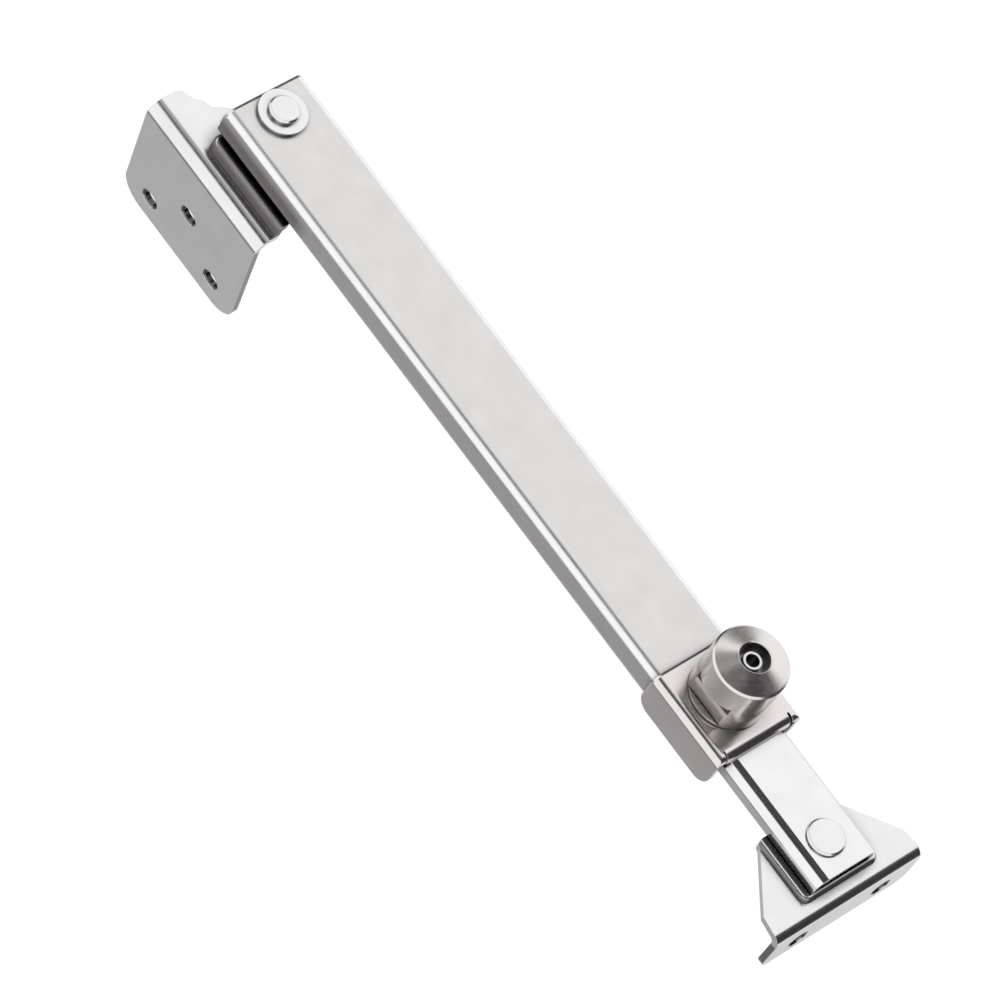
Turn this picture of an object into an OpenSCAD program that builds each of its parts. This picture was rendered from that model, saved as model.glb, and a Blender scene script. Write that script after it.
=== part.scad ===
// Lockable sliding window restrictor. Millimetres. The arm runs along X and the knob points up.
// The origin is the top screw hole of the frame bracket, on the flange's seating face.

/* [Arms] */
// Distance between the two pivots with the window closed
pivot_distance = 181; // [178:1:190]
// Outside width of the outer arm
arm_width = 20; // [19.5:0.5:22]
// Outside height of the outer arm
arm_height = 8; // [7.8:0.1:8.6]
// Sheet thickness of both arms
arm_wall = 1; // [0.8:0.1:1.1]
// Outside fold radius of the outer arm
arm_fold = 1.9; // [1.6:0.1:2.1]
// Width of each lip folded in under the outer arm
arm_lip = 3; // [2.4:0.2:3.2]
// Length of the outer arm beyond the frame pivot
arm_tail = 5.6; // [5.2:0.2:6.4]
// Distance from the frame pivot to the mouth of the outer arm
arm_reach = 156.4; // [154:0.2:158]
// Side wall height of the inner arm
inner_height = 3.65; // [3.2:0.05:3.8]
// Outside fold radius of the inner arm
inner_fold = 1.5; // [1.3:0.1:1.7]
// Distance from the sash pivot to the end of the inner arm
inner_tail = 7.4; // [6.6:0.2:8]
// Distance from the frame pivot to the hidden end of the inner arm
inner_start = 10; // [9.6:0.2:12]
// Travel of the inner arm from closed to the locked opening
locked_opening = 90; // [80:1:95]

/* [Lock] */
// Distance from the outer arm's mouth back to the lock axis
lock_setback = 9.5; // [9.5:0.1:11]
// Sheet thickness of the collar
collar_wall = 1.2; // [1:0.1:1.3]
// Length of the collar along the arm
collar_length = 21.5; // [21:0.1:23]
// Depth of the collar's side flanges below the arm
collar_drop = 0.5; // [0.3:0.1:0.9]
// Outside fold radius of the collar
collar_fold = 1.9; // [1.8:0.1:2.1]
// Radius of the lower corners of the collar
collar_corner = 3.2; // [2.5:0.1:3.6]
// Radius of the lock barrel
barrel_r = 8.1; // [8:0.1:8.6]
// Height of the barrel's straight wall
barrel_height = 13.7; // [13.4:0.1:14.5]
// Height of the cone on the barrel
cone_height = 1.9; // [1.6:0.1:2.3]
// Radius of the key hole in the barrel's cone
key_hole_r = 3.3; // [3.1:0.1:3.6]
// Distance of each wrench flat from the barrel's axis
flat_offset = 6.6; // [6.3:0.1:6.9]
// Height of the wrench flats
flat_height = 6; // [5:0.5:7]
// Radius of the plunger's shaft
plunger_r = 2; // [1.9:0.05:2.1]
// Radius of the hole in the plunger's top
plunger_socket_r = 1.45; // [1.3:0.05:1.55]
// Rise of the plunger under the key, from the closed position
plunger_lift = 1.8; // [1.4:0.1:2.2]
// Drop of the plunger into the inner arm's lock hole
plunger_drop = 2.5; // [2:0.1:2.7]

/* [Frame bracket] */
// Sheet thickness of both brackets
sheet = 1.5; // [1.4:0.1:1.7]
// Half of the frame bracket's width
frame_half = 18.3; // [17.8:0.1:20]
// Depth of the screw flange below its bend
frame_depth = 34.5; // [33:0.5:40]
// Lean of the screw flange under the arm
frame_tilt = 12; // [6:1:14]
// Outside radius of the frame bracket's bend
frame_bend_r = 3.3; // [2.8:0.1:3.6]
// Distance from the frame pivot to the start of the bend
frame_ear = 11.8; // [11.5:0.1:13]
// Rise of the pressed platform under the frame pivot
frame_rise = 3.5; // [3.2:0.1:4]
// Radius of the flange's lower corners
frame_corner = 6; // [4:0.5:7]
// Radius of the frame screw holes
frame_hole_r = 2.1; // [1.8:0.05:2.3]
// Half the distance between the two lower frame screws
frame_hole_x = 10.5; // [9:0.5:11]
// Depth of the top frame screw below the bend
top_hole_depth = 15.7; // [14:0.1:17]
// Depth of the lower frame screws below the bend
low_hole_depth = 27.4; // [26:0.1:28]

/* [Sash bracket] */
// Half of the sash bracket's width
sash_half = 19.7; // [19:0.1:21]
// Distance from the sash pivot to the start of the bend
sash_ear = 9.5; // [9.3:0.1:11]
// Outside radius of the sash bracket's bend
sash_bend_r = 2.5; // [2.2:0.1:2.8]
// Distance from the sash pivot to the back edge of the ear
sash_back = 7.2; // [7:0.1:8]
// Rise of the pressed platform under the sash pivot
sash_rise = 1.1; // [0.9:0.1:1.3]
// Half of the platform's width under the sash pivot
sash_pad_half = 10.4; // [10:0.1:11]
// Depth of the sash flange below its bend
sash_depth = 9.4; // [8.5:0.1:12]
// Radius of the sash flange's lower corners
sash_corner = 3; // [2:0.5:4]
// Radius of the sash screw holes
sash_hole_r = 2.2; // [1.8:0.05:2.4]
// Half the distance between the sash screws
sash_hole_y = 11.4; // [10:0.1:13]
// Depth of the sash screws below the bend
sash_hole_depth = 4.6; // [4.2:0.1:5]

/* [Pivots] */
// Radius of both pivot rivets
rivet_r = 2.5; // [2.3:0.1:2.7]
// Radius of the frame pivot's rivet head
head_r = 3.25; // [3.1:0.05:3.6]
// Height of the frame pivot's rivet head
head_height = 1.2; // [0.9:0.1:1.4]
// Radius of the washer on the outer arm
washer_r = 5.3; // [5:0.1:5.8]
// Thickness of the washers
washer_height = 0.9; // [0.7:0.1:1.1]
// Radius of the sash pivot's rivet head
sash_head_r = 4.1; // [3.8:0.1:4.5]
// Height of the sash pivot's rivet head
sash_head_height = 0.8; // [0.6:0.1:1]
// Length of the pivot block beyond the outer arm's end
block_show = 0.8; // [0.5:0.1:1.2]

/* [Hidden] */
// Running clearance of the pivots and the plunger, on the radius
run = 0.05;
// Gap beside a nylon glide that slides
slip = 0.15;
// Gap between parts that pass each other
pass = 0.25;
// Thickness of the mouth glide over the inner arm
glide_web = 0.55;
// Height of the pivot block clear of the outer arm's lips
lip_clear = 0.1;
over = 1;
// Hair by which a screw flange is thinner than its bend, so that their faces never coincide
seam = 0.01;

head_edge = 0.35;
lip_z = arm_wall + lip_clear;
web_z = arm_height - arm_wall;
arm_inner = arm_width / 2 - arm_wall;
inner_top = web_z - glide_web - slip;
inner_web = inner_top - arm_wall;
inner_foot = inner_top - inner_height;
glide_leg = 0.7;
glide_r = arm_fold - arm_wall + 0.1;
glide_foot = arm_fold + 0.1;
block_end = 7;
block_nose = 3;
inner_half = arm_inner - glide_leg - slip;
inner_end = pivot_distance + inner_tail;
lock_x = arm_reach - lock_setback;

shoe_start = inner_start - 1;
shoe_length = 20;
shoe_rivet_x = shoe_start + shoe_length / 2;
shoe_rivet_r = 1.5;
shoe_head_r = 2.5;
mouth_start = lock_x - 8.9;
mouth_end = arm_reach - 0.5;
gap_in_lips = arm_inner - arm_lip + arm_wall;

collar_top = arm_height + collar_wall;
collar_half = arm_width / 2 + collar_wall;
collar_end = lock_x + 11.6;
collar_start = collar_end - collar_length;
collar_relief = collar_end - 2;
collar_nose = 1.5;
collar_slit = 0.5;
lip_half = collar_half - collar_fold - 0.3;
collar_lip_z = inner_top + pass;

base_r = 5.2;
base_height = 2.3;
base_top = collar_top + base_height;
spigot_r = 4;
thread_r = base_r + run;
chamber_r = 4.4;
flange_r = 3.6;
flange_height = 1;
flange_z = base_top + plunger_drop;
barrel_top = collar_top + barrel_height;
cone_top = barrel_top + cone_height;
plunger_tip = inner_top + 0.1;
plunger_top = cone_top - 1.5;
socket_depth = 4;
wire = 0.5;
spring_r = 3.1;
spring_turns = 6;
spring_spare = 1;
spring_z = flange_z + flange_height;
spring_length = plunger_lift + spring_turns * wire + spring_spare;
roof_wall = 1;
roof_z = spring_z + spring_length;
roof_top = roof_z + roof_wall;
rim = 0.4;

pad_z = -0.8;
ear_z = pad_z - frame_rise;
ear_under = ear_z - sheet;
pivot_y = frame_ear + (frame_bend_r - sheet) * cos(frame_tilt) - top_hole_depth * sin(frame_tilt);
pivot_z = frame_bend_r - ear_z + (frame_bend_r - sheet) * sin(frame_tilt)
          + top_hole_depth * cos(frame_tilt);
pad_front = frame_ear - 0.5;
pad_left = 5.2;
pad_corner = 2.2;
pad_edge = 1;
boss_r = 6.5;
ear_back_r = 8;
ear_straight = 2.5;
ear_shoulder = 2.3;
tail_washer_r = pad_left - sheet - 0.15;
tail_head_r = rivet_r + 0.6;

sash_pad_z = inner_foot - 0.35;
sash_z = sash_pad_z - sash_rise;
sash_front = sash_ear - 1.2;
sash_pad_edge = sash_rise - 0.1;
bush_r = 6.4;

$fa = 4;
$fs = 0.4;

// Everything is drawn from the frame pivot, level with the outer arm's lower edges.
module from_pivot(x = 0) {
    translate([x, pivot_y, pivot_z]) children();
}

// Outline of a folded channel, open side down, with both upper corners round.
module channel_outline(half, low, top, r) {
    translate([-half, low]) square([2 * half, top - r - low]);
    translate([r - half, low]) square([2 * (half - r), top - low]);
    for (s = [-1, 1]) {
        translate([s * (half - r), top - r]) circle(r = r);
    }
}

// Box outline with four round corners.
module tube_outline(half, low, top, r) {
    translate([-half, low + r]) square([2 * half, top - low - 2 * r]);
    translate([r - half, low]) square([2 * (half - r), top - low]);
    for (s = [-1, 1], z = [low + r, top - r]) {
        translate([s * (half - r), z]) circle(r = r);
    }
}

// Draws a cross-section along X from one place to another.
module along(x0, x1) {
    translate([x0, 0, 0]) rotate([90, 0, 90]) linear_extrude(height = x1 - x0) children();
}

// Upright hole or post between two heights.
module post(r, z0, z1) {
    translate([0, 0, z0]) cylinder(r = r, h = z1 - z0);
}

// Washer with a running hole.
module washer(r, z0, h) {
    difference() {
        post(r, z0, z0 + h);
        post(rivet_r + run, z0 - over, z0 + h + over);
    }
}

// Rivet head with a softened rim, flat side at z0. A negative height hangs down.
module rivet_head(r, z0, h) {
    translate([0, 0, z0]) mirror([0, 0, h < 0 ? 1 : 0]) rotate_extrude()
        polygon([[0, 0], [r, 0], [r, abs(h) - head_edge], [r - head_edge, abs(h)], [0, abs(h)]]);
}

// Screw flange of a bracket with its bend. The bend's axis is the origin's X axis.
module folded_flange(half, depth, tilt, corner, bend_r) {
    reach = 2 * bend_r;
    intersection() {
        along(-half, half) {
            intersection() {
                difference() {
                    circle(r = bend_r);
                    circle(r = bend_r - sheet);
                }
                for (turn = [0, tilt]) {
                    rotate(turn) translate([-reach, 0]) square(reach);
                }
            }
            rotate(tilt) translate([seam - bend_r, -depth])
                square([sheet - 2 * seam, depth + 10 * seam]);
        }
        rotate([tilt, 0, 0]) translate([0, depth, 0]) rotate([90, 0, 0])
            linear_extrude(height = 2 * depth) flange_face(half, depth, corner, bend_r);
    }
}

// Face of a screw flange, taken above its bend, with the lower corners round.
module flange_face(half, depth, corner, bend_r) {
    translate([-half, corner - depth]) square([2 * half, depth - corner + 2 * bend_r]);
    translate([corner - half, -depth]) square([2 * (half - corner), depth]);
    for (s = [-1, 1]) {
        translate([s * (half - corner), corner - depth]) circle(r = corner);
    }
}

// Pressed platform: a pad that rises over its edge radius. It runs from the round
// corner at (x0, y0) along both walls to x1 and y1.
module pad_walls(x0, y0, x1, y1, z0, z1, corner, edge) {
    translate([x0 + corner, y0 + corner, z0]) rotate_extrude() difference() {
        square([corner, z1 - z0]);
        translate([corner - edge, z1 - z0 - edge]) difference() {
            square([edge + over, edge + over]);
            circle(r = edge);
        }
    }
    translate([x0 + corner, 0, 0]) rotate([90, 0, 90]) linear_extrude(height = x1 - x0 - corner)
        pad_profile(y0, y1, z0, z1, edge);
    translate([0, y1, 0]) rotate([90, 0, 0]) linear_extrude(height = y1 - y0 - corner)
        pad_profile(x0, x1, z0, z1, edge);
}

module pad_profile(a0, a1, z0, z1, edge) {
    translate([a0 + edge, z0]) square([a1 - a0 - edge, z1 - z0]);
    translate([a0, z0]) square([a1 - a0, z1 - z0 - edge]);
    translate([a0 + edge, z1 - edge]) circle(r = edge);
}

// Plan of the frame bracket's ear, with its stepped shoulders and its round back.
module frame_ear_plan() {
    points = [[frame_half, -frame_ear], [frame_half, ear_straight - frame_ear],
              [frame_half - 1.5, 4.6 - frame_ear], [frame_half - 3.3, 5.4 - frame_ear],
              [frame_half - 4.5, 7 - frame_ear], [frame_half - 6.4, 7.6 - frame_ear],
              [frame_half - 7.5, 9.5 - frame_ear], [7.4, 3]];
    for (s = [0, 1]) {
        mirror([s, 0]) {
            polygon(concat([[0, -frame_ear]], points, [[0, 3]]));
            translate([frame_half - ear_shoulder, ear_straight - frame_ear])
                circle(r = ear_shoulder);
        }
    }
    circle(r = ear_back_r);
}

module frame_bracket() {
    color([0.74, 0.74, 0.75]) from_pivot() difference() {
        union() {
            translate([0, -frame_ear, ear_z - frame_bend_r])
                folded_flange(frame_half, frame_depth, frame_tilt, frame_corner, frame_bend_r);
            translate([0, 0, ear_under]) linear_extrude(height = sheet) frame_ear_plan();
            intersection() {
                translate([0, 0, ear_under]) linear_extrude(height = 2 * frame_rise)
                    frame_ear_plan();
                pad_walls(-pad_left, -pad_front, 30, 20, ear_under, pad_z, pad_corner, pad_edge);
            }
        }
        pad_walls(sheet - pad_left, sheet - pad_front, 31, 21, ear_under - over, pad_z - sheet,
                  pad_corner - 1, 0.4);
        post(rivet_r + 0.02, ear_under - over, pad_z + over);
        translate([0, -frame_ear, ear_z - frame_bend_r]) rotate([frame_tilt, 0, 0]) {
            for (p = [[0, top_hole_depth], [-frame_hole_x, low_hole_depth],
                      [frame_hole_x, low_hole_depth]]) {
                translate([p[0], 0, -p[1]]) screw_hole(frame_hole_r, frame_bend_r);
            }
        }
    }
}

// Screw hole through a flange that faces -Y, with a broken edge on the outside.
module screw_hole(r, bend_r) {
    translate([0, over, 0]) rotate([90, 0, 0]) cylinder(r = r, h = bend_r + 2 * over);
    translate([0, 0.4 - bend_r, 0]) rotate([90, 0, 0])
        cylinder(r1 = r, r2 = r + 1, h = 1);
}

module frame_pivot_rivet() {
    tail_z = pad_z - sheet - washer_height;
    color([0.86, 0.86, 0.87]) from_pivot() {
        rivet_head(head_r, arm_height + washer_height, head_height);
        post(rivet_r, tail_z, arm_height + washer_height);
        rivet_head(tail_head_r, tail_z, -head_height);
    }
}

module frame_pivot_washer() {
    color([0.84, 0.84, 0.85]) from_pivot() washer(washer_r, arm_height, washer_height);
}

module frame_tail_washer() {
    color([0.8, 0.8, 0.81]) from_pivot()
        washer(tail_washer_r, pad_z - sheet - washer_height, washer_height);
}

// Side view of the pivot block, with its nose round above.
module block_side() {
    start = -arm_tail - block_show;
    translate([start, 0]) square([block_end - start, web_z - block_nose]);
    translate([start + block_nose, 0]) square([block_end - start - block_nose, web_z + over]);
    translate([start + block_nose, web_z - block_nose]) circle(r = block_nose);
}

// Nylon block inside the outer arm. Its boss goes down between the lips to the platform.
module frame_pivot_block() {
    color([0.86, 0.88, 0.84]) from_pivot() difference() {
        union() {
            intersection() {
                along(-arm_tail - block_show, block_end)
                    tube_outline(arm_inner - 0.1, lip_z, web_z, glide_r);
                translate([0, arm_width / 2, 0]) rotate([90, 0, 0])
                    linear_extrude(height = arm_width) block_side();
            }
            post(min(boss_r, gap_in_lips - 0.3), pad_z, lip_z + 1);
        }
        post(rivet_r + run, pad_z - over, web_z + over);
    }
}

module outer_arm() {
    color([0.78, 0.78, 0.78]) from_pivot() difference() {
        along(-arm_tail, arm_reach) difference() {
            tube_outline(arm_width / 2, 0, arm_height, arm_fold);
            tube_outline(arm_inner, arm_wall, web_z, arm_fold - arm_wall);
            translate([-gap_in_lips, -over]) square([2 * gap_in_lips, arm_wall + 2 * over]);
        }
        post(rivet_r + run, web_z - over, arm_height + over);
        translate([lock_x, 0, 0]) post(spigot_r + run, web_z - over, arm_height + over);
    }
}

// Collar side wall with its lower corners and its upper front corner round, seen from the side.
module collar_side() {
    low = -collar_drop;
    translate([collar_start, low + collar_corner])
        square([collar_length, collar_top - collar_nose - low - collar_corner]);
    translate([collar_start, collar_top - 2 * collar_nose])
        square([collar_length - collar_nose, 2 * collar_nose]);
    translate([collar_start + collar_corner, low])
        square([collar_length - 2 * collar_corner, collar_corner + over]);
    for (x = [collar_start + collar_corner, collar_end - collar_corner]) {
        translate([x, low + collar_corner]) circle(r = collar_corner);
    }
    translate([collar_end - collar_nose, collar_top - collar_nose]) circle(r = collar_nose);
}

// Side view of the top plate's front lip, bent down over the mouth.
module collar_lip_side() {
    lip_r = 2;
    difference() {
        union() {
            translate([collar_relief - 1, collar_lip_z])
                square([collar_end - lip_r - collar_relief + 1, collar_top - collar_lip_z]);
            translate([collar_relief, collar_lip_z])
                square([collar_end - collar_relief, collar_top - lip_r - collar_lip_z]);
            translate([collar_end - lip_r, collar_top - lip_r]) circle(r = lip_r);
        }
        translate([collar_relief - 2, 0]) square([collar_end - collar_relief + 3, collar_lip_z]);
        translate([collar_relief - 2, 0])
            square([collar_end - lip_r - collar_relief + 2, collar_top - collar_wall]);
        translate([collar_relief - 2, 0])
            square([collar_end - collar_wall - collar_relief + 2, collar_top - lip_r]);
        translate([collar_end - lip_r, collar_top - lip_r]) circle(r = lip_r - collar_wall);
    }
}

// Plate folded up from one sheet: top, two side flanges and a front lip over the mouth. A slit
// at each end of the lip frees it from the side folds.
module lock_collar() {
    half = lip_half - collar_slit;
    color([0.76, 0.76, 0.76]) from_pivot() difference() {
        union() {
            difference() {
                intersection() {
                    along(collar_start, collar_end) difference() {
                        channel_outline(collar_half, -collar_drop, collar_top, collar_fold);
                        channel_outline(arm_width / 2, -collar_drop - over, arm_height,
                                        collar_fold - collar_wall);
                    }
                    translate([0, collar_half + over, 0]) rotate([90, 0, 0])
                        linear_extrude(height = 2 * (collar_half + over)) collar_side();
                }
                translate([collar_relief, -lip_half, arm_height - over])
                    cube([10, 2 * lip_half, 10]);
            }
            translate([0, half, 0]) rotate([90, 0, 0])
                linear_extrude(height = 2 * half) collar_lip_side();
        }
        translate([lock_x, 0, 0]) post(spigot_r + run, web_z, collar_top + over);
    }
}

// Stud swaged through the collar and the arm's top. The barrel screws onto it.
module lock_base() {
    color([0.7, 0.7, 0.71]) from_pivot(lock_x) difference() {
        union() {
            post(base_r, collar_top, base_top);
            post(spigot_r, web_z, collar_top);
        }
        post(plunger_r + run, web_z - over, base_top + over);
    }
}

module lock_barrel() {
    color([0.7, 0.7, 0.7]) from_pivot(lock_x) difference() {
        rotate_extrude() polygon([
            [thread_r, collar_top], [barrel_r - rim, collar_top], [barrel_r, collar_top + rim],
            [barrel_r, barrel_top - rim], [barrel_r - rim, barrel_top],
            [key_hole_r + 0.2, cone_top], [key_hole_r, cone_top - 0.2],
            [key_hole_r, roof_top], [plunger_r + run, roof_top], [plunger_r + run, roof_z],
            [chamber_r, roof_z], [chamber_r, base_top + 0.1], [thread_r, base_top + 0.1]]);
        for (s = [0, 1]) {
            mirror([0, s, 0]) translate([-barrel_r, flat_offset, collar_top + 0.9])
                cube([2 * barrel_r, barrel_r, flat_height]);
        }
    }
}

module lock_plunger() {
    tip = 0.4;
    color([0.8, 0.8, 0.8]) from_pivot(lock_x) rotate_extrude() polygon([
        [0, plunger_tip], [plunger_r - tip, plunger_tip], [plunger_r, plunger_tip + tip],
        [plunger_r, flange_z], [flange_r, flange_z], [flange_r, spring_z], [plunger_r, spring_z],
        [plunger_r, plunger_top], [plunger_socket_r, plunger_top],
        [plunger_socket_r, plunger_top - socket_depth], [0, plunger_top - socket_depth]]);
}

// Coil spring over the plunger, drawn as close rings on one sleeve.
module lock_spring() {
    pitch = (spring_length - wire) / (spring_turns - 1);
    color([0.6, 0.6, 0.62]) from_pivot(lock_x) rotate_extrude() {
        translate([spring_r - 0.15, spring_z]) square([0.3, spring_length]);
        for (i = [0 : spring_turns - 1]) {
            translate([spring_r, spring_z + wire / 2 + i * pitch]) circle(r = wire / 2, $fn = 16);
        }
    }
}

// Nylon liner in the mouth of the outer arm, around the top and sides of the inner arm.
module mouth_glide() {
    color([0.85, 0.86, 0.83]) from_pivot() difference() {
        along(mouth_start, mouth_end) difference() {
            channel_outline(arm_inner, glide_foot, web_z, glide_r);
            channel_outline(inner_half + slip, glide_foot - over, web_z - glide_web, 0.4);
        }
        translate([lock_x, 0, 0]) post(plunger_r + 0.3, web_z - 2, web_z + over);
    }
}

module inner_arm() {
    color([0.86, 0.86, 0.86]) from_pivot() difference() {
        along(inner_start, inner_end) difference() {
            channel_outline(inner_half, inner_foot, inner_top, inner_fold);
            channel_outline(inner_half - arm_wall, inner_foot - over, inner_web,
                            inner_fold - arm_wall);
        }
        translate([lock_x - locked_opening, 0, 0])
            post(plunger_r + 0.3, inner_web - over, inner_top + over);
        translate([pivot_distance, 0, 0]) post(rivet_r + run, inner_web - over, inner_top + over);
        translate([shoe_rivet_x, 0, 0])
            post(shoe_rivet_r + run, inner_web - over, inner_top + over);
    }
}

// Nylon shoe on the hidden end of the inner arm. It stops against the mouth glide.
module inner_glide() {
    color([0.84, 0.85, 0.82]) from_pivot() difference() {
        along(shoe_start, shoe_start + shoe_length)
            tube_outline(arm_inner - slip, lip_z, web_z - slip, glide_r);
        along(inner_start, shoe_start + shoe_length + over) difference() {
            channel_outline(inner_half, inner_foot, inner_top, inner_fold - 0.3);
            channel_outline(inner_half - arm_wall, inner_foot - over, inner_web,
                            inner_fold - arm_wall + 0.3);
        }
        translate([shoe_rivet_x, 0, 0]) {
            post(shoe_rivet_r + run, lip_z - over, web_z);
            post(shoe_head_r + run, inner_top, web_z);
            post(shoe_head_r + run, lip_z - over, lip_z + 1.4);
        }
    }
}

module glide_rivet() {
    color([0.75, 0.75, 0.76]) from_pivot(shoe_rivet_x) {
        post(shoe_head_r, inner_top, inner_top + 0.4);
        post(shoe_rivet_r, lip_z + 1.4, inner_top);
        post(shoe_head_r, lip_z + 0.5, lip_z + 1.4);
    }
}

// Plan of the sash bracket's ear, seen with the flange side to +X.
module sash_ear_plan() {
    back_r = 1.4;
    slope_y = sash_pad_half + 0.1;
    points = [[sash_ear, sash_half], [sash_ear - 3.6, sash_half - 0.5],
              [1.6 - sash_back, slope_y], [back_r - sash_back, slope_y - 0.2]];
    for (s = [0, 1]) {
        mirror([0, s]) {
            polygon(concat(points, [[back_r - sash_back, 0], [sash_ear, 0]]));
            translate([-sash_back, 0]) square([back_r + 0.2, slope_y - back_r - 0.2]);
            translate([back_r - sash_back, slope_y - back_r - 0.2]) circle(r = back_r);
        }
    }
}

module sash_bracket() {
    color([0.84, 0.84, 0.84]) from_pivot(pivot_distance) difference() {
        union() {
            translate([sash_ear, 0, sash_z - sash_bend_r]) rotate([0, 0, 90])
                folded_flange(sash_half, sash_depth, 0, sash_corner, sash_bend_r);
            translate([0, 0, sash_z - sheet]) linear_extrude(height = sheet) sash_ear_plan();
            intersection() {
                translate([0, 0, sash_z - sheet]) linear_extrude(height = 4) sash_ear_plan();
                sash_pad(sash_front, sash_pad_half, sash_z - sheet, sash_pad_z, 2, sash_pad_edge);
            }
        }
        sash_pad(sash_front - sheet, sash_pad_half - sheet, sash_z - sheet - over,
                 sash_pad_z - sheet, 1, 0.3);
        post(rivet_r + 0.02, sash_z - 3, sash_pad_z + over);
        for (s = [-1, 1]) {
            translate([sash_ear, s * sash_hole_y, sash_z - sash_bend_r - sash_hole_depth])
                rotate([0, 0, 90]) screw_hole(sash_hole_r, sash_bend_r);
        }
    }
}

// Platform under the sash pivot, with a wall on three sides.
module sash_pad(front, half, z0, z1, corner, edge) {
    for (s = [0, 1]) {
        mirror([0, s, 0]) mirror([1, 0, 0])
            pad_walls(-front, -half, 20, 0, z0, z1, corner, edge);
    }
}

module sash_pivot_rivet() {
    tail_z = sash_pad_z - sheet - washer_height;
    color([0.86, 0.86, 0.87]) from_pivot(pivot_distance) {
        rivet_head(sash_head_r, inner_top, sash_head_height);
        post(rivet_r, tail_z, inner_top);
        rivet_head(tail_head_r, tail_z, -head_height);
    }
}

module sash_pivot_bush() {
    color([0.84, 0.85, 0.82]) from_pivot(pivot_distance)
        washer(bush_r, sash_pad_z, inner_web - sash_pad_z);
}

module sash_tail_washer() {
    color([0.8, 0.8, 0.81]) from_pivot(pivot_distance)
        washer(tail_washer_r, sash_pad_z - sheet - washer_height, washer_height);
}

frame_bracket();
frame_pivot_rivet();
frame_pivot_washer();
frame_tail_washer();
frame_pivot_block();
outer_arm();
lock_collar();
lock_base();
lock_barrel();
lock_plunger();
lock_spring();
mouth_glide();
inner_arm();
inner_glide();
glide_rivet();
sash_bracket();
sash_pivot_rivet();
sash_pivot_bush();
sash_tail_washer();
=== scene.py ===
# %% [markdown]
# # A sliding window restrictor
# The CAD model brings the shapes: a folded channel arm, a second channel that slides in it, two
# riveted brackets and a key lock. All of them were solids from the start, because they carry load
# or move. This script adds what a solid doesn't have: the look of stainless steel and nylon, a
# studio and a camera. It adds no piece of its own.

# %% Load the CAD model
import bpy
import bmesh
import math
from mathutils import Matrix, Vector


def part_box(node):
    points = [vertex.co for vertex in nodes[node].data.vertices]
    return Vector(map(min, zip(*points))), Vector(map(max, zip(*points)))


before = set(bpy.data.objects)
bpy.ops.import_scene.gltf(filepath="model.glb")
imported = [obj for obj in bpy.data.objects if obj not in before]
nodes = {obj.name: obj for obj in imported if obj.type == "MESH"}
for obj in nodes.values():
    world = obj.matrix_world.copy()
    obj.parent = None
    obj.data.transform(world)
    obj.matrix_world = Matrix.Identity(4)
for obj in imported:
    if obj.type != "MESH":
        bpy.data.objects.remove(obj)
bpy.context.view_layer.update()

# %% [markdown]
# Everything in the studio is placed from the frame pivot, where the arm turns on its bracket. It
# could be typed, but a typed place is wrong as soon as the CAD model changes. So it is read from
# the model: the pivot lies half way across the bracket and half way across the arm, and its
# height is taken at the arm's lower edges. The part's middle lies half its span along the arm.

# %% Pivot
arm_low, arm_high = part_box("outer_arm")
bracket_low, bracket_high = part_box("frame_bracket")
pivot = Vector(((bracket_low.x + bracket_high.x) / 2, (arm_low.y + arm_high.y) / 2, arm_low.z))
half_span = 0.09
middle = pivot + Vector((half_span, 0, 0))
print("pivot, mm:", [round(1000 * v, 3) for v in pivot])

# %% [markdown]
# The camera is a long lens, above and to the right of the arm, rolled until the arm runs down the
# picture from left to right. A camera can be placed by dragging it, but this one had to meet the
# picture's edges, so it is written as angles round the part, a distance, and a small sideways
# move. Its three axes make up its matrix: a camera looks against its own Z axis, here called back.

# %% Camera
def place_camera(azimuth, elevation, roll, distance, aside, lens, target):
    azimuth, elevation, roll = (math.radians(v) for v in (azimuth, elevation, roll))
    outward = Vector((math.sin(azimuth), -math.cos(azimuth), 0))
    back = math.cos(elevation) * outward + Vector((0, 0, math.sin(elevation)))
    level = Vector((math.cos(azimuth), math.sin(azimuth), 0))
    upward = back.cross(level)
    right = math.cos(roll) * level + math.sin(roll) * upward
    up = -math.sin(roll) * level + math.cos(roll) * upward
    spot = target + right * aside[0] + up * aside[1] + back * distance
    turn = Matrix((right, up, back)).transposed().to_4x4()
    data = bpy.data.cameras.new("camera")
    data.lens = lens
    data.sensor_width = 36
    data.clip_end = 20
    made = bpy.data.objects.new("camera", data)
    made.matrix_world = Matrix.Translation(spot) @ turn
    bpy.context.collection.objects.link(made)
    bpy.context.scene.camera = made
    return made


camera = place_camera(azimuth=20.078, elevation=54.759, roll=36.262, distance=1.5529,
                      aside=(-0.007234, -0.002602), lens=283.73, target=middle)
print("camera at", [round(v, 3) for v in camera.location])

# %% [markdown]
# The light is a white tent: an even white world of strength 1, in which a colour renders about as
# it is written. Lamps would light the part too, but polished steel shows each of them as a spot,
# and product pictures like this one are taken in a tent for that reason.

# %% World
world = bpy.data.worlds.new("tent")
world.use_nodes = True
sky = world.node_tree.nodes["Background"]
sky.inputs["Color"].default_value = (1, 1, 1, 1)
sky.inputs["Strength"].default_value = 1
bpy.context.scene.world = world
print("world strength:", sky.inputs["Strength"].default_value)

# %% [markdown]
# The materials below are node trees, and three kinds of node come back in them: a sum, a value
# carried from one range to another, and the distance of a point along a direction. They could be
# made one by one in each material; these helpers keep the materials short. An input takes a plain
# value or another node's output.

# %% Node helpers
def feed(tree, slot, value):
    if isinstance(value, bpy.types.NodeSocket):
        tree.links.new(value, slot)
    else:
        slot.default_value = value


def calc(tree, operation, first, second):
    node = tree.nodes.new("ShaderNodeMath")
    node.operation = operation
    feed(tree, node.inputs[0], first)
    feed(tree, node.inputs[1], second)
    return node.outputs["Value"]


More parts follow.
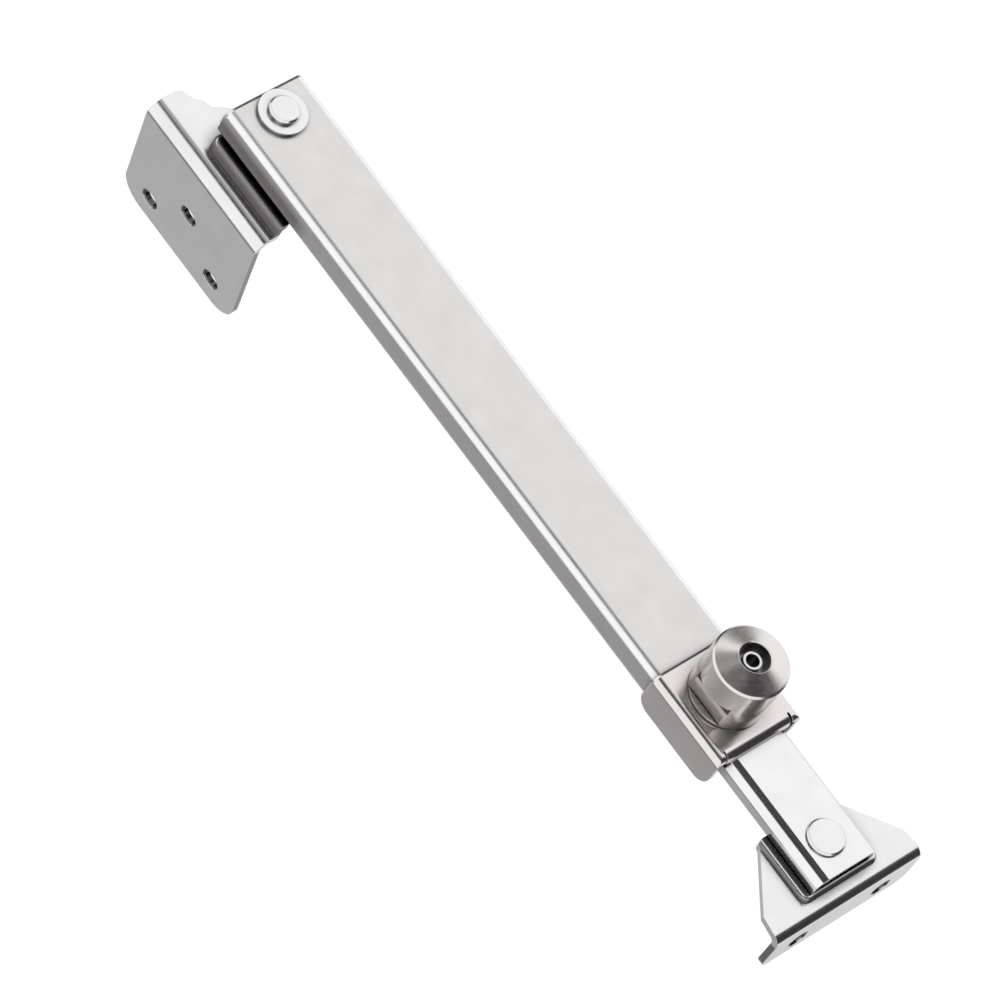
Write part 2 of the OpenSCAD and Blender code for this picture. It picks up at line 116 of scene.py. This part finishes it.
def carry(tree, value, low, high, at_low=0, at_high=1, smooth=False):
    """At low the result is at_low, at high it is at_high, and it stays there outside the range."""
    node = tree.nodes.new("ShaderNodeMapRange")
    if smooth:
        node.interpolation_type = "SMOOTHSTEP"
    for slot, setting in (("Value", value), ("From Min", low), ("From Max", high),
                          ("To Min", at_low), ("To Max", at_high)):
        feed(tree, node.inputs[slot], setting)
    return node.outputs["Result"]


def reach(tree, point, direction):
    node = tree.nodes.new("ShaderNodeVectorMath")
    node.operation = "DOT_PRODUCT"
    feed(tree, node.inputs[0], point)
    feed(tree, node.inputs[1], direction)
    return node.outputs["Value"]


def object_place(tree):
    return tree.nodes.new("ShaderNodeTexCoord").outputs["Object"]


print("helpers: feed, calc, carry, reach, object_place")

# %% [markdown]
# The floor is a pale sheet well below the part, so that its shadow is soft. A small glow lifts it
# to paper white for the camera and for what metal and nylon show of it, and leaves the shadow on
# it. It has only an upper face: from below it is clear, so that the part's underside can be seen.

# %% Floor
def flat_sheet(name, low, high, height):
    """A level sheet between two corners, facing up."""
    mesh = bpy.data.meshes.new(name)
    bm = bmesh.new()
    bmesh.ops.create_grid(bm, x_segments=1, y_segments=1, size=0.5)
    size = (high[0] - low[0], high[1] - low[1], 1)
    bmesh.ops.scale(bm, verts=bm.verts, vec=size)
    centre = ((high[0] + low[0]) / 2, (high[1] + low[1]) / 2, height)
    bmesh.ops.translate(bm, verts=bm.verts, vec=centre)
    bm.to_mesh(mesh)
    bm.free()
    made = bpy.data.objects.new(name, mesh)
    bpy.context.collection.objects.link(made)
    return made


def floor_paint(colour, glow):
    paint = bpy.data.materials.new("floor")
    paint.use_nodes = True
    tree = paint.node_tree
    shader = tree.nodes["Principled BSDF"]
    shader.inputs["Base Color"].default_value = (colour, colour, colour, 1)
    shader.inputs["Roughness"].default_value = 0.9
    shader.inputs["Specular IOR Level"].default_value = 0
    shader.inputs["Emission Color"].default_value = (1, 1, 1, 1)
    ray = tree.nodes.new("ShaderNodeLightPath").outputs
    seen = calc(tree, "MAXIMUM", ray["Is Camera Ray"], ray["Is Glossy Ray"])
    seen = calc(tree, "MAXIMUM", seen, ray["Is Transmission Ray"])
    feed(tree, shader.inputs["Emission Strength"], calc(tree, "MULTIPLY", seen, glow))
    below = tree.nodes.new("ShaderNodeNewGeometry").outputs["Backfacing"]
    clear = tree.nodes.new("ShaderNodeBsdfTransparent")
    mix = tree.nodes.new("ShaderNodeMixShader")
    tree.links.new(below, mix.inputs["Fac"])
    tree.links.new(shader.outputs["BSDF"], mix.inputs[1])
    tree.links.new(clear.outputs["BSDF"], mix.inputs[2])
    tree.links.new(mix.outputs["Shader"], tree.nodes["Material Output"].inputs["Surface"])
    return paint


floor_height = -0.3
floor = flat_sheet("floor", (-8, -8), (8, 8), floor_height)
floor.data.materials.append(floor_paint(colour=0.78, glow=0.24))
print("floor at", floor_height)

# %% [markdown]
# In an all-white tent polished steel turns to white paper, so a photographer hangs dark flags
# round it, and the steel draws its folds with them. A flag here is a disc that only mirror rays
# meet: the camera, the floor and the nylon are lit as if it weren't there. Its rim fades out from
# the inner angle to the outer one, because a hard rim would show as a line in polished steel.

# %% Flag helpers
def mirror_only(made):
    made.visible_camera = False
    made.visible_diffuse = False
    made.visible_shadow = False
    made.visible_transmission = False
    made.visible_volume_scatter = False


def flag_paint(name, inner, outer, level):
    """Cloth of this level inside the inner radius, clear past the outer one."""
    paint = bpy.data.materials.new(name)
    paint.use_nodes = True
    tree = paint.node_tree
    tree.nodes.remove(tree.nodes["Principled BSDF"])
    away = tree.nodes.new("ShaderNodeVectorMath")
    away.operation = "LENGTH"
    feed(tree, away.inputs[0], object_place(tree))
    cloth = tree.nodes.new("ShaderNodeEmission")
    cloth.inputs["Color"].default_value = (level, level, level, 1)
    clear = tree.nodes.new("ShaderNodeBsdfTransparent")
    mix = tree.nodes.new("ShaderNodeMixShader")
    fade = carry(tree, away.outputs["Value"], inner, outer, smooth=True)
    tree.links.new(fade, mix.inputs["Fac"])
    tree.links.new(cloth.outputs["Emission"], mix.inputs[1])
    tree.links.new(clear.outputs["BSDF"], mix.inputs[2])
    tree.links.new(mix.outputs["Shader"], tree.nodes["Material Output"].inputs["Surface"])
    return paint


def flag(name, direction, inner, outer, level, distance):
    """A disc that faces the part from this direction. Inner and outer are angles in degrees."""
    inner_radius, outer_radius = (distance * math.tan(math.radians(v)) for v in (inner, outer))
    mesh = bpy.data.meshes.new(name)
    bm = bmesh.new()
    bmesh.ops.create_circle(bm, cap_ends=True, segments=48, radius=outer_radius)
    bm.to_mesh(mesh)
    bm.free()
    mesh.materials.append(flag_paint(name, inner_radius, outer_radius, level))
    made = bpy.data.objects.new(name, mesh)
    toward = Vector(direction).normalized()
    turn = toward.to_track_quat("Z", "Y").to_matrix().to_4x4()
    made.matrix_world = Matrix.Translation(middle + toward * distance) @ turn
    bpy.context.collection.objects.link(made)
    mirror_only(made)
    return made


print("helpers: mirror_only, flag_paint, flag")

# %% [markdown]
# Where to hang a flag comes from the law of the mirror: a fold that should be dark has a normal,
# and the flag goes where that normal throws the camera's view. The list gives each flag's
# direction, its inner and outer angle, and its level, from 0 for black to 1 for white. The flags
# hang one behind another, so that two of them never cross.

# %% Flags
first_distance, next_distance = 2.0, 0.05
flags = [
    ("flag_over_camera", (0.40, 0.05, 0.92), 14, 26, 0.03),
    ("flag_in_front", (-0.10, -0.42, 0.90), 12, 18, 0.05),
    ("flag_over_arm", (-0.20, -0.12, 0.97), 5, 18, 0.42),
    ("flag_left", (-0.50, -0.10, 0.86), 10, 22, 0.25),
    ("flag_low_right", (0.82, 0.50, 0.25), 22, 33, 0.04),
    ("flag_right", (0.66, 0.42, 0.62), 12, 22, 0.06),
    ("flag_low_left", (-0.85, 0.50, 0.00), 20, 40, 0.04),
    ("flag_above", (0.10, -0.22, 0.97), 3, 13, 0.02),
]
for order, values in enumerate(flags):
    flag(*values, distance=first_distance + next_distance * order)
print("flags:", len(flags))

# %% [markdown]
# The upright walls of the part look down, and a white floor would turn them white too. A grey
# card just over the floor, again met by mirror rays only, gives them their tone. It is painted in
# strips along Y: a dark one in front of the part, mid grey under it, and paler behind. Far out to
# the left and right it is dark. A ramp does this with one object where strips would need many. It
# runs from 0 to 1, and half a metre to either side of the origin is carried onto it.

# %% Grey card
card_front, card_half, card_lift = -0.44, 6, 0.005
ramp_half = 0.5
outward_direction = (0.92, -0.39, 0)


def card_paint(strips, near, far, dark):
    paint = bpy.data.materials.new("grey_card")
    paint.use_nodes = True
    tree = paint.node_tree
    tree.nodes.remove(tree.nodes["Principled BSDF"])
    parts = tree.nodes.new("ShaderNodeSeparateXYZ")
    feed(tree, parts.inputs[0], object_place(tree))
    tones = tree.nodes.new("ShaderNodeValToRGB")
    feed(tree, tones.inputs["Fac"], carry(tree, parts.outputs["Y"], -ramp_half, ramp_half))
    for spot, _ in strips[1:-1]:
        tones.color_ramp.elements.new(spot + ramp_half)
    for element, (spot, tone) in zip(tones.color_ramp.elements, strips):
        element.position = spot + ramp_half
        element.color = (tone, tone, tone, 1)
    side = tree.nodes.new("ShaderNodeMath")
    side.operation = "ABSOLUTE"
    tree.links.new(parts.outputs["X"], side.inputs[0])
    spread = tree.nodes.new("ShaderNodeCombineXYZ")
    tree.links.new(side.outputs["Value"], spread.inputs["X"])
    tree.links.new(parts.outputs["Y"], spread.inputs["Y"])
    outward = reach(tree, spread.outputs["Vector"], outward_direction)
    mix = tree.nodes.new("ShaderNodeMix")
    mix.data_type = "RGBA"
    feed(tree, mix.inputs["Factor"], carry(tree, outward, near, far, smooth=True))
    feed(tree, mix.inputs["A"], tones.outputs["Color"])
    feed(tree, mix.inputs["B"], (dark, dark, dark, 1))
    glow = tree.nodes.new("ShaderNodeEmission")
    tree.links.new(mix.outputs["Result"], glow.inputs["Color"])
    tree.links.new(glow.outputs["Emission"], tree.nodes["Material Output"].inputs["Surface"])
    return paint


card = flat_sheet("grey_card", (-card_half, card_front), (card_half, card_half),
                  floor_height + card_lift)
card_strips = [(card_front, 0.95), (-0.38, 0.12), (-0.27, 0.12), (-0.23, 0.40), (-0.19, 0.43),
               (-0.03, 0.46), (0.06, 0.58), (0.20, 0.66), (0.40, 0.90)]
card.data.materials.append(card_paint(card_strips, near=0.5, far=0.75, dark=0.06))
mirror_only(card)
print("card strips:", len(card_strips))

# %% [markdown]
# One group gives every piece its surface, so that all of them look as if they came from the same
# shop. Noise stretched along one axis is the grain of rolling or turning, which moves the
# roughness and a low bump, and a wider noise clouds the sheet. Ambient Occlusion finds creases and
# darkens their colour, a painted shade: in a real crease light gets lost between two pieces of
# metal.

# %% Surface group
grain_scale, grain_detail = 1000, 3
cloud_scale, cloud_detail = 160, 4
noise_low, noise_high = 0.3, 0.7
crease_reach, open_from = 0.006, 0.85


def surface_group():
    group = bpy.data.node_groups.new("surface", "ShaderNodeTree")
    sockets = group.interface
    sockets.new_socket("Stretch", in_out="INPUT", socket_type="NodeSocketVector")
    for name in ("Low", "High", "Cloud", "Crease", "Shut"):
        sockets.new_socket(name, in_out="INPUT", socket_type="NodeSocketFloat")
    sockets.new_socket("Colour", in_out="INPUT", socket_type="NodeSocketColor")
    sockets.new_socket("Colour", in_out="OUTPUT", socket_type="NodeSocketColor")
    sockets.new_socket("Roughness", in_out="OUTPUT", socket_type="NodeSocketFloat")
    sockets.new_socket("Height", in_out="OUTPUT", socket_type="NodeSocketFloat")
    enter = group.nodes.new("NodeGroupInput").outputs
    leave = group.nodes.new("NodeGroupOutput").inputs
    place = object_place(group)
    stretch = group.nodes.new("ShaderNodeVectorMath")
    stretch.operation = "MULTIPLY"
    feed(group, stretch.inputs[0], place)
    feed(group, stretch.inputs[1], enter["Stretch"])
    grain, cloud = (group.nodes.new("ShaderNodeTexNoise") for _ in range(2))
    for noise, where, scale, detail in (
            (grain, stretch.outputs["Vector"], grain_scale, grain_detail),
            (cloud, place, cloud_scale, cloud_detail)):
        feed(group, noise.inputs["Vector"], where)
        noise.inputs["Scale"].default_value = scale
        noise.inputs["Detail"].default_value = detail
    rough = carry(group, grain.outputs["Fac"], noise_low, noise_high, enter["Low"], enter["High"])
    clouded = calc(group, "SUBTRACT", 1.0, enter["Cloud"])
    shade = carry(group, cloud.outputs["Fac"], noise_low, noise_high, 1.0, clouded)
    # Painted shade: the colour darkens where Ambient Occlusion finds a crease.
    open_air = group.nodes.new("ShaderNodeAmbientOcclusion")
    open_air.samples = 10
    open_air.inputs["Distance"].default_value = crease_reach
    crease = carry(group, open_air.outputs["AO"], enter["Shut"], open_from, enter["Crease"], 1.0)
    tint = group.nodes.new("ShaderNodeVectorMath")
    tint.operation = "SCALE"
    feed(group, tint.inputs[0], enter["Colour"])
    feed(group, tint.inputs["Scale"], calc(group, "MULTIPLY", shade, crease))
    feed(group, leave["Colour"], tint.outputs["Vector"])
    feed(group, leave["Roughness"], rough)
    feed(group, leave["Height"], grain.outputs["Fac"])
    return group


surface = surface_group()
print("group:", surface.name)

# %% [markdown]
# Sheared and folded sheet isn't dead flat up to its edge: it rolls over by a few tenths of a
# millimetre, and that draws the dark lines along the edges of the arms. The CAD mesh keeps its
# plain edges, so the roll-over is a bump. The group gives a height that falls by the drop between
# a start and an end, all in metres, along one direction.

# %% Roll-over group
def roll_over_group():
    group = bpy.data.node_groups.new("roll_over", "ShaderNodeTree")
    sockets = group.interface
    sockets.new_socket("Along", in_out="INPUT", socket_type="NodeSocketVector")
    for name in ("Start", "End", "Drop"):
        sockets.new_socket(name, in_out="INPUT", socket_type="NodeSocketFloat")
    sockets.new_socket("Height", in_out="OUTPUT", socket_type="NodeSocketFloat")
    enter = group.nodes.new("NodeGroupInput").outputs
    leave = group.nodes.new("NodeGroupOutput").inputs
    place = reach(group, object_place(group), enter["Along"])
    down = calc(group, "MULTIPLY", enter["Drop"], -1)
    feed(group, leave["Height"], carry(group, place, enter["Start"], enter["End"], 0, down))
    return group


roll_over = roll_over_group()
print("group:", roll_over.name)

# %% [markdown]
# Some finishes and some painted light hold only on a band of a piece: the walls that the press
# drew are matt and painted dark as shade, and the folds of the arm get a painted highlight. A face
# could be given a slot of its own, but the CAD meshes stay as they are and a slot has a hard edge.
# This group is a mask with soft edges instead: 1 where the distance from a centre, along one
# direction, lies between a low and a high limit.

# %% Band group
def band_group():
    group = bpy.data.node_groups.new("band", "ShaderNodeTree")
    sockets = group.interface
    for name in ("Centre", "Along"):
        sockets.new_socket(name, in_out="INPUT", socket_type="NodeSocketVector")
    for name in ("Low", "High", "Soft"):
        sockets.new_socket(name, in_out="INPUT", socket_type="NodeSocketFloat")
    sockets.new_socket("Mask", in_out="OUTPUT", socket_type="NodeSocketFloat")
    enter = group.nodes.new("NodeGroupInput").outputs
    leave = group.nodes.new("NodeGroupOutput").inputs
    shift = group.nodes.new("ShaderNodeVectorMath")
    shift.operation = "SUBTRACT"
    feed(group, shift.inputs[0], object_place(group))
    feed(group, shift.inputs[1], enter["Centre"])
    size = group.nodes.new("ShaderNodeMath")
    size.operation = "ABSOLUTE"
    feed(group, size.inputs[0], reach(group, shift.outputs["Vector"], enter["Along"]))
    steps = []
    for limit, operation in (("Low", "SUBTRACT"), ("High", "ADD")):
        outer = calc(group, operation, enter[limit], enter["Soft"])
        steps.append(carry(group, size.outputs["Value"], outer, enter[limit], smooth=True))
    feed(group, leave["Mask"], calc(group, "MULTIPLY", *steps))
    return group


band = band_group()
print("group:", band.name)

# %% [markdown]
# A zone is where several bands cross, so its mask is their product. A zone colour, whether a
# finish or painted light, may cover several zones, and takes the largest of their masks. Two short
# helpers write a band: within a distance of a centre, or beyond it.

# %% Zones
across, upright, lengthwise = (0, 1, 0), (0, 0, 1), (1, 0, 0)


def within(centre, along, limit, soft):
    return centre, along, -1, limit, soft


def beyond(centre, along, limit, soft):
    return centre, along, limit, 1, soft


def zone_mask(tree, zones):
    total = 0
    for zone in zones:
        product = 1
        for values in zone:
            strip = tree.nodes.new("ShaderNodeGroup")
            strip.node_tree = band
            for slot, value in zip(strip.inputs, values):
                slot.default_value = value
            product = calc(tree, "MULTIPLY", product, strip.outputs["Mask"])
        total = calc(tree, "MAXIMUM", total, product)
    return total


print("helpers: within, beyond, zone_mask")

# %% [markdown]
# A Bump node turns a height into a normal, which is enough for a relief that is too low to change
# an outline. It takes the normal that came before it, so that reliefs add up. A CAD piece is
# dressed by one material on its own mesh, whose slots are cleared of the plain one first.

# %% Relief and dressing
def raised(tree, height, strength, distance, normal):
    node = tree.nodes.new("ShaderNodeBump")
    node.inputs["Strength"].default_value = strength
    node.inputs["Distance"].default_value = distance
    tree.links.new(height, node.inputs["Height"])
    tree.links.new(normal, node.inputs["Normal"])
    return node.outputs["Normal"]


def dress(paint, *names):
    for name in names:
        slots = nodes[name].data.materials
        slots.clear()
        slots.append(paint)
    print(paint.name, "on", len(names), "pieces")


print("helpers: raised, dress")

# %% [markdown]
# Steel is a metallic Principled shader, fed by the surface group. Each zone mixes in its own
# colour, most of them a painted highlight, painted reflection or painted shade, and, where it
# isn't 0, its own roughness. A Bevel node rounds the normals at the sharp CAD edges, since no real
# edge is sharp and a rounded one catches light. The roll-overs and the grain follow as bumps, each
# on the normal of the one before. One function with named values makes all the steels, so that
# they differ only where the real pieces do.

# %% Steel
grain_depth = 0.00005


def steel(name, colour, rough, stretch=(1, 1, 1), cloud=0.06, crease=0.4, shut=0.3, bump=0.02,
          edge=0.0002, rolled=(), finishes_and_painted_light=()):
    paint = bpy.data.materials.new(name)
    paint.use_nodes = True
    tree = paint.node_tree
    shader = tree.nodes["Principled BSDF"].inputs
    shader["Metallic"].default_value = 1
    look = tree.nodes.new("ShaderNodeGroup")
    look.node_tree = surface
    for slot, value in (("Stretch", stretch), ("Low", rough[0]), ("High", rough[1]),
                        ("Cloud", cloud), ("Crease", crease), ("Shut", shut)):
        look.inputs[slot].default_value = value
    tone, matt = (*colour, 1), look.outputs["Roughness"]
    for zones, zone_colour, zone_rough in finishes_and_painted_light:
        mask = zone_mask(tree, zones)
        swap = tree.nodes.new("ShaderNodeMix")
        swap.data_type = "RGBA"
        for slot, value in (("Factor", mask), ("A", tone), ("B", (*zone_colour, 1))):
            feed(tree, swap.inputs[slot], value)
        tone = swap.outputs["Result"]
        if zone_rough:
            blend = tree.nodes.new("ShaderNodeMix")
            for slot, value in (("Factor", mask), ("A", matt), ("B", zone_rough)):
                feed(tree, blend.inputs[slot], value)
            matt = blend.outputs["Result"]
    feed(tree, look.inputs["Colour"], tone)
    feed(tree, shader["Base Color"], look.outputs["Colour"])
    feed(tree, shader["Roughness"], matt)
    edges = tree.nodes.new("ShaderNodeBevel")
    edges.samples = 4
    edges.inputs["Radius"].default_value = edge
    normal = edges.outputs["Normal"]
    for values in rolled:
        fall = tree.nodes.new("ShaderNodeGroup")
        fall.node_tree = roll_over
        for slot, value in zip(fall.inputs, values):
            slot.default_value = value
        normal = raised(tree, fall.outputs["Height"], 1, 1, normal)
    normal = raised(tree, look.outputs["Height"], bump, grain_depth, normal)
    feed(tree, shader["Normal"], normal)
    return paint


print("helper: steel")

# %% [markdown]
# The outer arm is satin: the rollers leave a grain along it, which is noise stretched some
# seventeen times along X and squeezed a little across. Its folds get a painted highlight, a
# near-white colour. Near the frame bracket the lower part of its walls gets a painted reflection
# of the bracket, a dark colour, and its sheared end rolls over.

# %% Outer arm
along_arm = (0.06, 1.5, 1.5)
arm_half = (arm_high.y - arm_low.y) / 2
fold_width, fold_height = 0.0014, 0.0017
# Painted highlight: the folds get a near-white colour for the light they mirror.
fold_highlight_zone = [beyond(pivot, across, arm_half - fold_width, soft=0.0004),
             within(arm_high, upright, fold_height, soft=0.0002)]
# Painted reflection: near the frame bracket the lower walls get a dark colour for the bracket they
# mirror.
reflection_length, reflection_height = 0.024, 0.0035
bracket_reflection_zone = [within(arm_low, lengthwise, reflection_length, soft=0.006),
              within(arm_low, upright, reflection_height, soft=0.003)]
sheared_width, sheared_drop = 0.0005, 0.00025
arm_end = (lengthwise, arm_low.x + sheared_width, arm_low.x, sheared_drop)
dress(steel("arm_satin", (0.785, 0.768, 0.757), (0.27, 0.33), along_arm, crease=0.3, shut=0.45,
            rolled=[arm_end],
            finishes_and_painted_light=[([fold_highlight_zone], (0.97, 0.965, 0.96), 0),
                      ([bracket_reflection_zone], (0.33, 0.305, 0.30), 0)]), "outer_arm")

# %% [markdown]
# The inner arm slides in nylon and stays polished. Beside each fold its top shows a broad line,
# dark on the front side, where the sheet slopes into the fold and mirrors a flag. A slope could
# be modelled, but the solid is flat there and stays so: the roll-over group bends only the normal.

# %% Inner arm
slope_start, slope_end = 0.0052, 0.0077
slopes = [(across, pivot.y + side * slope_start, pivot.y + side * slope_end, drop)
          for side, drop in ((-1, 0.0014), (1, 0.0005))]
dress(steel("arm_polished", (0.92, 0.915, 0.913), (0.10, 0.16), along_arm, rolled=slopes),
      "inner_arm")

# %% [markdown]
# Each bracket is one folded plate with a platform pressed out of its ear. The plate is polished,
# and the walls of the platform are matt, because the tool scraped along them, and dark, a painted
# shade. The sheared edges and the walls of the screw holes are dark. The walls are the band
# between the ear's face and the platform's top. The cut edges are all that lies inside the
# thickness of the screw flange.

# %% Brackets
sheet_wall, corner = 0.0015, 0.0003
sheet_colour, drawn_roughness = (0.88, 0.877, 0.875), 0.45


def drawn_walls(name, rise):
    """The zone of the platform's walls, which rise by this much to the top of the bracket."""
    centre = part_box(name)[1] - Vector((0, 0, rise / 2))
    return [within(centre, upright, rise / 2 - corner, soft=0.0002)]


def cut_edges(name, toward, bend_end):
    """The zone inside the flange, which faces toward and is flat from bend_end below the top."""
    faces = [face for face in nodes[name].data.polygons if face.normal.dot(Vector(toward)) > 0.9]
    face = max(faces, key=lambda f: f.area)
    heart = face.center - face.normal * sheet_wall / 2
    flange_top, half_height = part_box(name)[1].z - bend_end, 0.05
    print(name, "flange faces", [round(v, 3) for v in face.normal])
    return [within(heart, face.normal.copy(), sheet_wall / 2 - 0.0001, soft=0.00005),
            within((0, 0, flange_top - half_height), upright, half_height, soft=corner)]


def bracket_steel(name, piece, rise, toward, bend_end, wall_shade_colour, cut_colour, crease, shut):
    # The platform's walls get a dark colour, a painted shade.
    finishes_and_painted_light = [([drawn_walls(piece, rise)], wall_shade_colour, drawn_roughness),
                ([cut_edges(piece, toward, bend_end)], cut_colour, 0)]
    return steel(name, sheet_colour, (0.13, 0.18), crease=crease, shut=shut, edge=0.0001,
                 finishes_and_painted_light=finishes_and_painted_light)


dress(bracket_steel("frame_sheet", "frame_bracket", rise=0.0035, toward=(0, -1, 0),
                    bend_end=0.00733, wall_shade_colour=(0.22, 0.205, 0.20),
                    cut_colour=(0.22, 0.21, 0.205), crease=0.25, shut=0.45), "frame_bracket")
dress(bracket_steel("sash_sheet", "sash_bracket", rise=0.0011, toward=(1, 0, 0),
                    bend_end=0.0041, wall_shade_colour=(0.26, 0.245, 0.24),
                    cut_colour=(0.30, 0.29, 0.285), crease=0.05, shut=0.50), "sash_bracket")

# %% [markdown]
# The collar is polished plate in a slightly warmer tone. It is sheared like the arm, so its rear
# edge rolls over in the same way, and the same two sizes serve for both.

# %% Collar
collar_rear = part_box("lock_collar")[0].x
collar_end = (lengthwise, collar_rear + sheared_width, collar_rear, sheared_drop)
dress(steel("collar", (0.85, 0.80, 0.80), (0.15, 0.20), rolled=[collar_end]), "lock_collar")

# %% [markdown]
# The barrel is turned, so its grain runs round it: that is noise squeezed along Z. Its two wrench
# flats are milled, and a painted shade draws a dark line along the upper and the lower rim of
# each. A rim is where two bands cross: just at the flat's distance from the axis, and just at a
# height.

# %% Barrel
barrel_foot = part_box("lock_barrel")[0].z
around_barrel = (1, 1, 3)
# Painted shade: a dark line along the upper and the lower rim of each flat.
flat_offset, rim_shade_half = 0.0066, 0.0001
upper_rim, lower_rim = (0.0063, 0.0007, 0.0006), (0.0009, 0.0002, 0.0001)
rim_shade_zones = [[(pivot, across, flat_offset - rim_shade_half, flat_offset + rim_shade_half, rim_shade_half),
         within((0, 0, barrel_foot + height), upright, half, soft)]
        for height, half, soft in (upper_rim, lower_rim)]
dress(steel("turned", (0.84, 0.80, 0.785), (0.20, 0.26), around_barrel, cloud=0.03, crease=0.3,
            bump=0.01, finishes_and_painted_light=[(rim_shade_zones, (0.14, 0.125, 0.12), 0)]), "lock_barrel", "lock_base")

# %% [markdown]
# The small parts are bright all over. Rivets and washers come so from the header and the press,
# and the plunger and its spring are polished because they rub. Their grain isn't stretched,
# because none of them is long enough to show its direction.

# %% Rivets and plunger
dress(steel("plunger", (0.85, 0.85, 0.85), (0.1, 0.2), crease=0.3), "lock_plunger",
      "lock_spring")
dress(steel("rivet", (0.90, 0.90, 0.90), (0.15, 0.25), crease=0.2), "frame_pivot_rivet",
      "frame_pivot_washer", "frame_tail_washer", "sash_pivot_rivet", "sash_tail_washer",
      "glide_rivet")

# %% [markdown]
# The glides are natural nylon: a pale, slightly green plastic that light enters a little, which
# Subsurface Weight gives. Its surface comes from the same group as the steel's, with a coarser
# grain, and it is dielectric, so it keeps its colour where the steel mirrors the studio.

# %% Nylon
def nylon(name, colour):
    paint = bpy.data.materials.new(name)
    paint.use_nodes = True
    tree = paint.node_tree
    shader = tree.nodes["Principled BSDF"].inputs
    shader["Subsurface Weight"].default_value = 0.2
    shader["Subsurface Scale"].default_value = 0.001
    look = tree.nodes.new("ShaderNodeGroup")
    look.node_tree = surface
    for slot, value in (("Stretch", (0.5, 0.5, 0.5)), ("Low", 0.4), ("High", 0.5),
                        ("Cloud", 0.05), ("Crease", 0.6), ("Shut", 0.3),
                        ("Colour", (*colour, 1))):
        look.inputs[slot].default_value = value
    feed(tree, shader["Base Color"], look.outputs["Colour"])
    feed(tree, shader["Roughness"], look.outputs["Roughness"])
    return paint


dress(nylon("nylon", (0.62, 0.66, 0.52)), "frame_pivot_block", "mouth_glide", "inner_glide",
      "sash_pivot_bush")

# %% [markdown]
# The Standard view keeps white paper white and a written grey the same grey.

# %% Finish
bpy.context.scene.view_settings.view_transform = "Standard"
